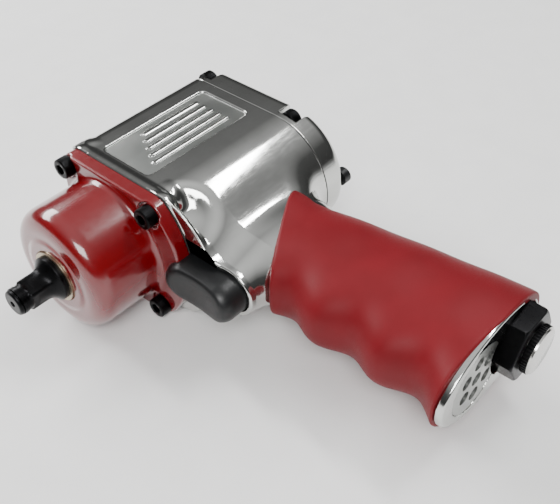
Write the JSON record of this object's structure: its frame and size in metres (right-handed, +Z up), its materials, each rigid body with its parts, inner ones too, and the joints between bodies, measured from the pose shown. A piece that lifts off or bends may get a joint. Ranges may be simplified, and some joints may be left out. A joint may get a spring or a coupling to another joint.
{
  "type": "air impact wrench",
  "caption": "Compact pistol-grip pneumatic impact wrench with a square drive, polished housing, painted hammer case and rubber grip, lying on its side.",
  "frame": {"origin": "on the flat resting side, straight below the drive axis where the hammer case meets the motor housing", "axes": "+X to the back along the drive axis, +Y away from the handle, +Z up through the tool's left side"},
  "size_m": [0.1408, 0.1877, 0.058],
  "materials": {
    "red_enamel": "gloss red enamel on cast aluminium",
    "polished_aluminium": "mirror-polished cast aluminium",
    "satin_aluminium": "satin stamped aluminium",
    "red_rubber": "matte moulded red rubber",
    "black_oxide": "black-oxide steel",
    "ground_steel": "ground alloy steel",
    "bright_plate": "bright nickel plate",
    "bronze": "sintered bronze",
    "dark_plastic": "matte glass-filled nylon",
    "gasket_fibre": "compressed fibre sheet",
    "grey_felt": "sintered felt",
    "laminate": "phenolic laminate"
  },
  "bodies": {
    "tool_body": {"motor_housing": "polished_aluminium", "hammer_case": "red_enamel", "rear_cover": "polished_aluminium", "grip_sleeve": "red_rubber", "front_case_screws": "black_oxide", "rear_cover_screws": "black_oxide", "front_gasket": "gasket_fibre", "rear_gasket": "gasket_fibre", "anvil_bushing": "bronze", "front_end_plate": "ground_steel", "rear_end_plate": "ground_steel", "front_bearing": "ground_steel", "rear_bearing": "ground_steel", "cylinder_liner": "ground_steel", "cylinder_dowel": "ground_steel", "trigger_guide": "bronze", "trigger_spring": "ground_steel", "throttle_seat": "bronze", "throttle_spring": "ground_steel", "throttle_spring_seat": "ground_steel", "exhaust_plate": "satin_aluminium", "exhaust_muffler": "grey_felt", "inlet_bushing": "black_oxide", "inlet_washer": "dark_plastic", "inlet_screen": "bright_plate"},
    "drive_train": {"rotor": "ground_steel", "hammer_cage": "ground_steel", "hammer_pins": "ground_steel"},
    "anvil_group": {"anvil": "black_oxide", "friction_ring": "ground_steel", "retainer_oring": "dark_plastic"},
    "front_hammer": {"hammer_front": "black_oxide"},
    "rear_hammer": {"hammer_rear": "black_oxide"},
    "trigger_group": {"trigger": "dark_plastic", "trigger_rod": "ground_steel"},
    "throttle_tilt": {"throttle_valve": "bronze"},
    "reverse_control": {"reverse_valve": "ground_steel", "reverse_lever": "dark_plastic"},
    "dust_plug": {"transport_plug": "bright_plate"},
    "vane_body_1": {"vane_1": "laminate"},
    "vane_body_2": {"vane_2": "laminate"},
    "vane_body_3": {"vane_3": "laminate"},
    "vane_body_4": {"vane_4": "laminate"},
    "vane_body_5": {"vane_5": "laminate"},
    "vane_body_6": {"vane_6": "laminate"}
  },
  "joints": [
    {"name": "drive_spin", "type": "hinge", "parent": "tool_body", "child": "drive_train", "pos_m": [0, 0, 0.029], "axis": [-1, 0, 0], "continuous": true},
    {"name": "anvil_spin", "type": "hinge", "parent": "tool_body", "child": "anvil_group", "pos_m": [-0.036, 0, 0.029], "axis": [-1, 0, 0], "continuous": true},
    {"name": "front_hammer_rock", "type": "hinge", "parent": "drive_train", "child": "front_hammer", "pos_m": [-0.0215, 0.0165, 0.029], "axis": [-1, 0, 0], "range_deg": [-4, 4]},
    {"name": "rear_hammer_rock", "type": "hinge", "parent": "drive_train", "child": "rear_hammer", "pos_m": [-0.0114, -0.0165, 0.029], "axis": [-1, 0, 0], "range_deg": [-4, 4]},
    {"name": "trigger_pull", "type": "slide", "parent": "tool_body", "child": "trigger_group", "axis": [1, 0, 0], "range_m": [0, 0.0045], "stiffness_N_per_m": 900, "springref_m": -0.004, "deforming": ["trigger_spring"]},
    {"name": "throttle_tilt_hinge", "type": "hinge", "parent": "tool_body", "child": "throttle_tilt", "pos_m": [0.0316, -0.0754, 0.029], "axis": [0, 0, -1], "range_deg": [0, 11], "deforming": ["throttle_spring"]},
    {"name": "reverse_turn", "type": "hinge", "parent": "tool_body", "child": "reverse_control", "pos_m": [0.08, -0.0265, 0.029], "axis": [1, 0, 0], "range_deg": [-20, 20]},
    {"name": "plug_lift", "type": "slide", "parent": "tool_body", "child": "dust_plug", "axis": [0, -1, 0], "range_m": [0, 0.06]},
    {"name": "vane_slide_1", "type": "slide", "parent": "drive_train", "child": "vane_body_1", "axis": [0, -0.866, -0.5], "range_m": [0, 0.0014]},
    {"name": "vane_slide_2", "type": "slide", "parent": "drive_train", "child": "vane_body_2", "axis": [0, 0, -1], "range_m": [0, 0.0014]},
    {"name": "vane_slide_3", "type": "slide", "parent": "drive_train", "child": "vane_body_3", "axis": [0, 0.866, -0.5], "range_m": [0, 0.0014]},
    {"name": "vane_slide_4", "type": "slide", "parent": "drive_train", "child": "vane_body_4", "axis": [0, 0.866, 0.5], "range_m": [0, 0.0014]},
    {"name": "vane_slide_5", "type": "slide", "parent": "drive_train", "child": "vane_body_5", "axis": [0, 0, 1], "range_m": [0, 0.0014]},
    {"name": "vane_slide_6", "type": "slide", "parent": "drive_train", "child": "vane_body_6", "axis": [0, -0.866, 0.5], "range_m": [0, 0.0014]}
  ],
  "couplings": [
    {"joint": "anvil_spin", "follows": "drive_spin", "ratio": 1},
    {"joint": "throttle_tilt_hinge", "follows": "trigger_pull", "rad_per_m": 42.2}
  ]
}
